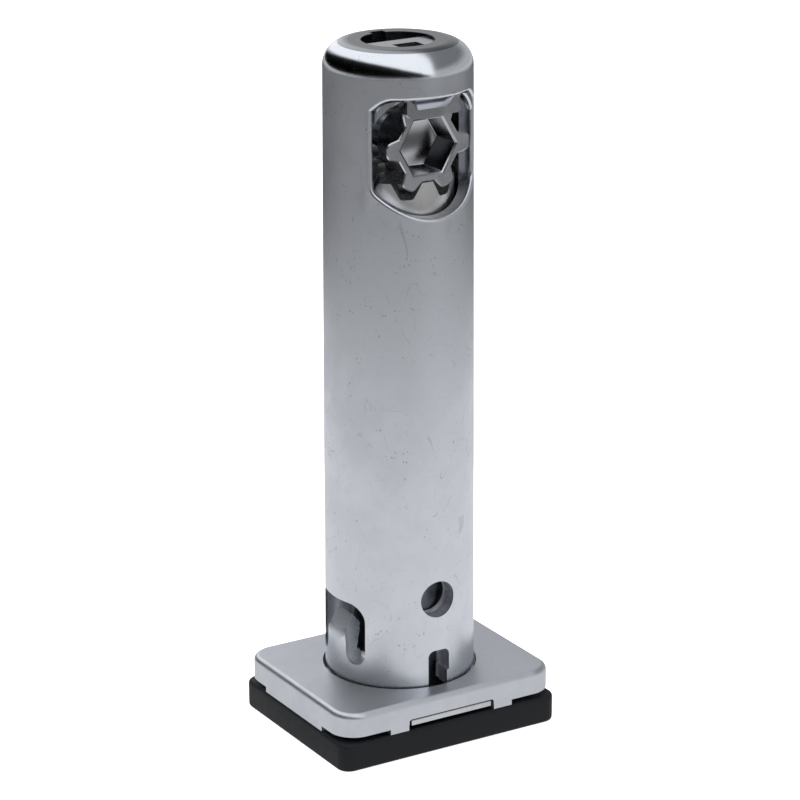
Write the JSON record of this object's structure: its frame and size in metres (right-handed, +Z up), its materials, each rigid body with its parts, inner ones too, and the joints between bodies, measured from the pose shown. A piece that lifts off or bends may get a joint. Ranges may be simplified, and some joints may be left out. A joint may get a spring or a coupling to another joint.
{
  "type": "levelling foot",
  "caption": "Concealed levelling foot: a round shank driven by a hex key through side bevel gearing over a rectangular base plate and a black glide pad.",
  "frame": {"origin": "centre of the pad's underside, on the spindle axis, at floor level", "axes": "+Z up along the spindle, -Y out of the window with the hex socket, X across the long side of the base plate"},
  "size_m": [0.0334, 0.027, 0.0927],
  "materials": {
    "shank_zinc": "satin zinc-nickel on a zinc casting",
    "plate_zinc": "satin zinc-nickel on a zinc casting",
    "pinion_zinc": "satin sintered metal",
    "gear_sinter": "matt sintered metal, slightly warm grey",
    "keeper_zinc": "satin zinc-nickel on a zinc casting",
    "bright_steel": "bright zinc-plated steel",
    "sleeve_steel": "dark drawn steel tube",
    "bearing_bronze": "oiled sintered bronze",
    "guide_zinc": "satin zinc-nickel on a zinc casting",
    "pad_plastic": "black moulded plastic, fine matt"
  },
  "bodies": {
    "foot": {"foot_pad": "pad_plastic", "base_plate": "plate_zinc", "clip_plate": "bright_steel", "plate_rivet_1": "bright_steel", "plate_rivet_2": "bright_steel", "plate_rivet_3": "bright_steel", "plate_rivet_4": "bright_steel", "base_flange": "bright_steel", "sleeve": "sleeve_steel", "spindle_nut": "bearing_bronze"},
    "shank": {"housing": "shank_zinc", "gear_keeper": "keeper_zinc", "bearing_plate": "bright_steel", "pinion_bush": "bearing_bronze", "guide_ring": "guide_zinc"},
    "spindle": {"spindle": "bright_steel", "drive_gear": "gear_sinter", "gear_pin": "bright_steel", "upper_washer": "bright_steel", "lower_washer": "bright_steel", "stop_washer": "bright_steel", "stop_screw": "bright_steel"},
    "pinion": {"side_pinion": "pinion_zinc"}
  },
  "joints": [
    {"name": "lift", "type": "slide", "parent": "foot", "child": "shank", "axis": [0, 0, 1], "range_m": [0, 0.02]},
    {"name": "spindle_spin", "type": "hinge", "parent": "shank", "child": "spindle", "pos_m": [0, 0, 0.066], "axis": [0, 0, 1], "range_deg": [0, 5760]},
    {"name": "pinion_spin", "type": "hinge", "parent": "shank", "child": "pinion", "pos_m": [0, -0.0074, 0.0803], "axis": [0, -1, 0], "range_deg": [0, 7681]}
  ],
  "couplings": [
    {"joint": "spindle_spin", "follows": "lift", "rad_per_m": 5026.5},
    {"joint": "pinion_spin", "follows": "lift", "rad_per_m": 6702.1}
  ]
}
